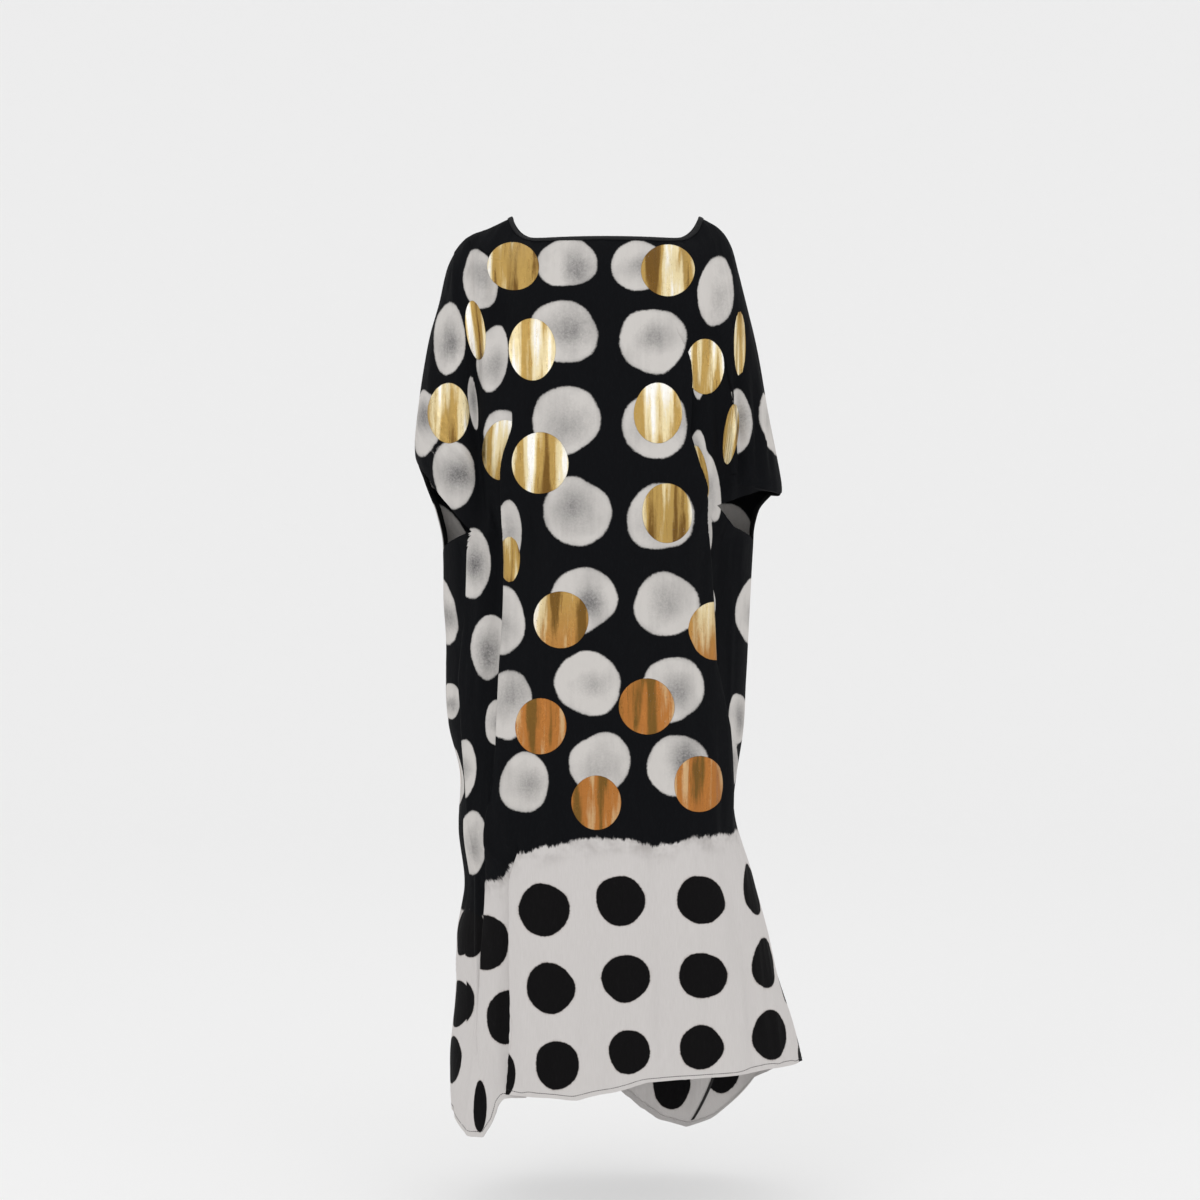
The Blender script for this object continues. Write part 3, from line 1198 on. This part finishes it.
def build_hem_turn(side, settings):
    """The hem's turned edge on the inside of a panel, a strip that follows the cloth."""
    panel = PANELS[side]
    grid, normals = rows_near_hem(panel, settings.hem_depth / MM, 5)
    inset = turn_inset(settings)
    material = plain_cloth_material(f"{side}_hem_cloth", settings.undyed_rgb, 0.85)
    across = np.broadcast_to(panel.across[-1], grid.shape[:2])
    piece = grid_wall(
        f"{side}_hem_cloth", grid, normals, -inset, -inset - TURN_WALL, [material], across,
        np.broadcast_to(np.linspace(0, 0.009, 5)[:, None] / MM, grid.shape[:2]),
    )
    piece.data.set_sharp_from_angle(angle=math.radians(60))
    return carry(piece, f"{side}_hem_turn")


def strip_piece(name, grid, normals, inset, material, node):
    """A narrow strip of cloth laid on the inside of a panel."""
    piece = grid_wall(
        name, grid, normals, -inset, -inset - TURN_WALL, [material],
        running_length(grid, 1), running_length(grid),
    )
    piece.data.set_sharp_from_angle(angle=math.radians(60))
    return carry(piece, node)


def build_cuff_turns(settings):
    """The four strips turned in along the edges of the open cuffs."""
    material = plain_cloth_material("cuff_cloth", settings.black_rgb, 0.8)
    inset = turn_inset(settings)
    for side, end, node in (
        ("front", 0, "left_cuff_turn_front"), ("front", -1, "right_cuff_turn_front"),
        ("back", 0, "right_cuff_turn_back"), ("back", -1, "left_cuff_turn_back"),
    ):
        panel = PANELS[side]
        open_ = [i for i, s in enumerate(panel.sections) if CUFF <= s.v <= UNDERARM]
        columns = slice(0, 4) if end == 0 else slice(-4, None)
        grid = panel.points[open_[0]:open_[-1] + 1, columns]
        normals = NORMALS[side][open_[0]:open_[-1] + 1, columns]
        strip_piece(f"{node}_cloth", grid, normals, inset, material, node)


ALLOWANCE_TOP, ALLOWANCE_SHORT = 18, 0.1
ALLOWANCE_COLUMNS = 2


def build_allowance(settings):
    """The overlocked seam allowance inside the right side seam, near the hem."""
    panel = PANELS["back"]
    rows = [i for i, s in enumerate(panel.sections) if ALLOWANCE_TOP <= s.v <= HEM - ALLOWANCE_SHORT]
    part = slice(rows[0], rows[-1] + 1), slice(0, ALLOWANCE_COLUMNS)
    grid, normals = panel.points[part], NORMALS["back"][part]
    material = plain_cloth_material("overlock_threads", (46, 44, 44), 0.75, 0.0008)
    strip_piece(
        "right_seam_cloth", grid, normals, turn_inset(settings), material,
        "right_seam_allowance",
    )


def stitch_row(name, path, normals, material, length, gap, thick):
    """A row of stitches along a path of points: each a short rod of six sides, pointed at
    both ends, half sunk into the cloth."""
    run = running_length(path)
    starts = np.arange(1.0, run[-1] - length - 1, length + gap)
    a, b = resampled(starts, run, path), resampled(starts + length, run, path)
    out = resampled(starts + length / 2, run, normals)
    along = unit(b - a)
    out = unit(out - along * np.sum(out * along, axis=1, keepdims=True))
    side = np.cross(along, out)
    spots = [(0.0, 0.15), (0.18, 0.8), (0.5, 1.0), (0.82, 0.8), (1.0, 0.15)]
    turn = np.radians(np.arange(6) * 60)
    rings = []
    for share, size in spots:
        middle = a + (b - a) * share + out * (size * 0.35 - 0.2) * thick
        ring = (
            middle[:, None]
            + side[:, None] * (np.cos(turn) * size * thick)[None, :, None]
            + out[:, None] * (np.sin(turn) * size * thick * 0.8)[None, :, None]
        )
        rings.append(ring)
    vertices = np.stack(rings, axis=1)
    count = len(starts)
    index = np.arange(count * 30).reshape(count, 5, 6)
    quads = np.stack([
        index[:, :-1], np.roll(index, -1, 2)[:, :-1], np.roll(index, -1, 2)[:, 1:], index[:, 1:],
    ], axis=-1).reshape(-1, 4)
    caps = np.concatenate([
        index[:, 0, [0, 3, 2, 1]], index[:, 0, [0, 5, 4, 3]],
        index[:, 4, [0, 1, 2, 3]], index[:, 4, [0, 3, 4, 5]],
    ])
    piece = new_object(name, vertices.reshape(-1, 3), np.concatenate([quads, caps]), [material])
    face_outwards(piece)
    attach(piece, "root")
    return piece


def build_stitches(settings):
    """The dark line of stitches that holds the hem, outside on both panels."""
    material = thread_material("hem_thread", (26, 24, 24))
    for side in ("front", "back"):
        panel = PANELS[side]
        grid, normals = rows_near_hem(panel, settings.hem_stitch_height / MM, 2)
        path = grid[0] + normals[0] * (settings.cloth_wall / MM / 2)
        piece = stitch_row(f"{side}_hem_stitches", path, normals[0], material, 2.9, 0.45, 0.55)


# ---- Stage ---------------------------------------------------------------------------
def build_stage(settings):
    """A pale round floor that curves up into a wall, soft lights, and the camera."""
    floor, flat, bend, top = settings.floor_height, 5.5, 2.0, 7.0
    turn = np.radians(np.linspace(0, 90, 13))
    curve = zip(flat + bend * np.sin(turn), floor + bend * (1 - np.cos(turn)))
    path = [(0.0, floor), (2.0, floor), *curve]
    path.append((flat + bend, floor + top))
    out, up = np.array(path).T
    round_ = np.radians(np.arange(96) * 3.75)
    points = np.stack(np.broadcast_arrays(
        np.sin(round_)[:, None] * out, -np.cos(round_)[:, None] * out, up[None, :]), axis=-1)
    index = np.arange(96 * len(path)).reshape(96, len(path))
    ahead = np.roll(index, -1, axis=0)
    corners = [index[:, 1:-1], index[:, 2:], ahead[:, 2:], ahead[:, 1:-1]]
    faces = np.stack(corners, axis=-1).reshape(-1, 4)
    middle = np.stack([index[:, 1], ahead[:, 1], np.zeros(96, int)], axis=-1)
    material, tree, surface = start_material("studio_paper")
    surface.inputs["Base Color"].default_value = (0.5, 0.5, 0.5, 1)
    surface.inputs["Roughness"].default_value = 1.0
    surface.inputs["Specular IOR Level"].default_value = 0.0
    surface.inputs["Emission Color"].default_value = (1, 1, 1, 1)
    surface.inputs["Emission Strength"].default_value = settings.paper_glow
    every = faces.tolist() + middle.tolist()
    paper = new_object("studio_paper", points.reshape(-1, 3) / MM, every, [material])
    for name, place, aim, size, power in (
        ("key_light", (-2.3, -3.0, 1.5), (0, 0, -0.6), 2.2, settings.light_power),
        ("fill_light", (2.6, -2.8, 0.6), (0, 0, -0.8), 2.4, settings.light_power * 0.6),
        ("top_light", (0, 0.4, 2.4), (0, 0.4, -1.0), 2.6, settings.light_power * 0.35),
    ):
        lamp = bpy.data.lights.new(name, "AREA")
        lamp.shape, lamp.size, lamp.energy = "SQUARE", size, power
        holder = bpy.data.objects.new(name, lamp)
        holder.location = place
        holder.rotation_euler = (Vector(aim) - Vector(place)).to_track_quat("-Z", "Y").to_euler()
        bpy.context.scene.collection.objects.link(holder)
    world = bpy.data.worlds.new("studio")
    world.use_nodes = True
    world.node_tree.nodes["Background"].inputs["Color"].default_value = (1, 1, 1, 1)
    world.node_tree.nodes["Background"].inputs["Strength"].default_value = settings.ambient
    bpy.context.scene.world = world
    lens = bpy.data.cameras.new("camera")
    lens.lens, lens.sensor_width = 67.1, 36
    camera = bpy.data.objects.new("camera", lens)
    camera.location = (VIEW_CENTRE[0] * MM, -VIEW_DISTANCE * MM, VIEW_CENTRE[1] * MM)
    camera.rotation_euler = (math.radians(90), 0, 0)
    bpy.context.scene.collection.objects.link(camera)
    bpy.context.scene.camera = camera
    bpy.context.scene.view_settings.view_transform = "Standard"


# ---- The add-on ------------------------------------------------------------------------
def colour_setting(name, description, *rgb):
    return FloatVectorProperty(name=name, description=f"{description}, 0 to 255", size=3, default=rgb)


class KaftanSettings(bpy.types.PropertyGroup):
    """Sizes and colours of the kaftan."""

    cloth_wall: FloatProperty(
        name="Cloth thickness", description="Thickness of the crepe", default=0.0014, unit="LENGTH")
    binding_width: FloatProperty(
        name="Binding width", description="Depth of the neck binding on each side", default=0.0062, unit="LENGTH")
    hem_depth: FloatProperty(
        name="Hem depth", description="How far the hem is turned up inside", default=0.009, unit="LENGTH")
    hem_stitch_height: FloatProperty(
        name="Hem stitch height", description="Height of the stitch line above the hem's edge",
        default=0.0082, unit="LENGTH")
    black_rgb: colour_setting("Black dye", "Colour of the dyed crepe", 12, 13, 16)
    undyed_rgb: colour_setting("Undyed cloth", "Colour of the undyed crepe", 208, 204, 202)
    grey_rgb: colour_setting("Discharged dots", "Palest grey of the discharged dots", 206, 202, 198)
    foil_light_rgb: colour_setting("Foil highlight", "Pale tone of the foil", 238, 221, 176)
    foil_gold_rgb: colour_setting("Foil gold", "Middle tone of the foil", 188, 154, 88)
    foil_amber_rgb: colour_setting("Foil amber", "Middle tone of the foil low down", 178, 116, 58)
    foil_deep_rgb: colour_setting("Foil shadow", "Deepest tone of the foil", 120, 88, 42)


class StudioSettings(bpy.types.PropertyGroup):
    """The studio's light and floor."""

    floor_height: FloatProperty(
        name="Floor height", description="Height of the floor below the shoulders", default=-1.49, unit="LENGTH")
    light_power: FloatProperty(
        name="Light power", description="Power of the key light", default=22.0, unit="POWER")
    ambient: FloatProperty(
        name="Ambient", description="Strength of the light from above the studio", default=0.8)
    paper_glow: FloatProperty(
        name="Paper glow", description="Light that the studio paper gives off", default=0.42)


class KAFTAN_OT_panels(bpy.types.Operator):
    """Builds the front and back panels of dyed crepe"""

    bl_idname = "kaftan.panels"
    bl_label = "Panels"

    def execute(self, context):
        settings = context.scene.kaftan
        front = build_panel("front", settings)
        back = build_panel("back", settings)
        return {"FINISHED"}


class KAFTAN_OT_trims(bpy.types.Operator):
    """Builds the neck binding, hem turns, cuff turns and seam allowance"""

    bl_idname = "kaftan.trims"
    bl_label = "Binding, hems and seams"

    def execute(self, context):
        settings = context.scene.kaftan
        build_binding(settings)
        for side in ("front", "back"):
            build_hem_turn(side, settings)
        build_cuff_turns(settings)
        build_allowance(settings)
        return {"FINISHED"}


class KAFTAN_OT_stitches(bpy.types.Operator):
    """Builds the stitch line of the hem"""

    bl_idname = "kaftan.stitches"
    bl_label = "Hem stitches"

    def execute(self, context):
        build_stitches(context.scene.kaftan)
        return {"FINISHED"}


class KAFTAN_OT_studio(bpy.types.Operator):
    """Builds the floor, the lights and the camera"""

    bl_idname = "kaftan.studio"
    bl_label = "Studio"

    def execute(self, context):
        build_stage(context.scene.kaftan_studio)
        return {"FINISHED"}


class KAFTAN_PT_sidebar(bpy.types.Panel):
    """Lists the kaftan's settings and builders."""

    bl_label = "Kaftan"
    bl_idname = "KAFTAN_PT_sidebar"
    bl_space_type = "VIEW_3D"
    bl_region_type = "UI"
    bl_category = "Kaftan"

    def draw(self, context):
        for group in (context.scene.kaftan, context.scene.kaftan_studio):
            for key in group.bl_rna.properties.keys():
                if key not in ("rna_type", "name"):
                    self.layout.prop(group, key)
        for operator in OPERATORS:
            self.layout.operator(operator.bl_idname)


OPERATORS = (KAFTAN_OT_panels, KAFTAN_OT_trims, KAFTAN_OT_stitches, KAFTAN_OT_studio)
CLASSES = (KaftanSettings, StudioSettings, *OPERATORS, KAFTAN_PT_sidebar)


def register():
    for item in CLASSES:
        bpy.utils.register_class(item)
    bpy.types.Scene.kaftan = bpy.props.PointerProperty(type=KaftanSettings)
    bpy.types.Scene.kaftan_studio = bpy.props.PointerProperty(type=StudioSettings)


def unregister():
    del bpy.types.Scene.kaftan_studio
    del bpy.types.Scene.kaftan
    for item in reversed(CLASSES):
        bpy.utils.unregister_class(item)


def main():
    register()
    bpy.ops.kaftan.panels()
    bpy.ops.kaftan.trims()
    bpy.ops.kaftan.stitches()
    bpy.ops.kaftan.studio()


if __name__ == "__main__":
    main()
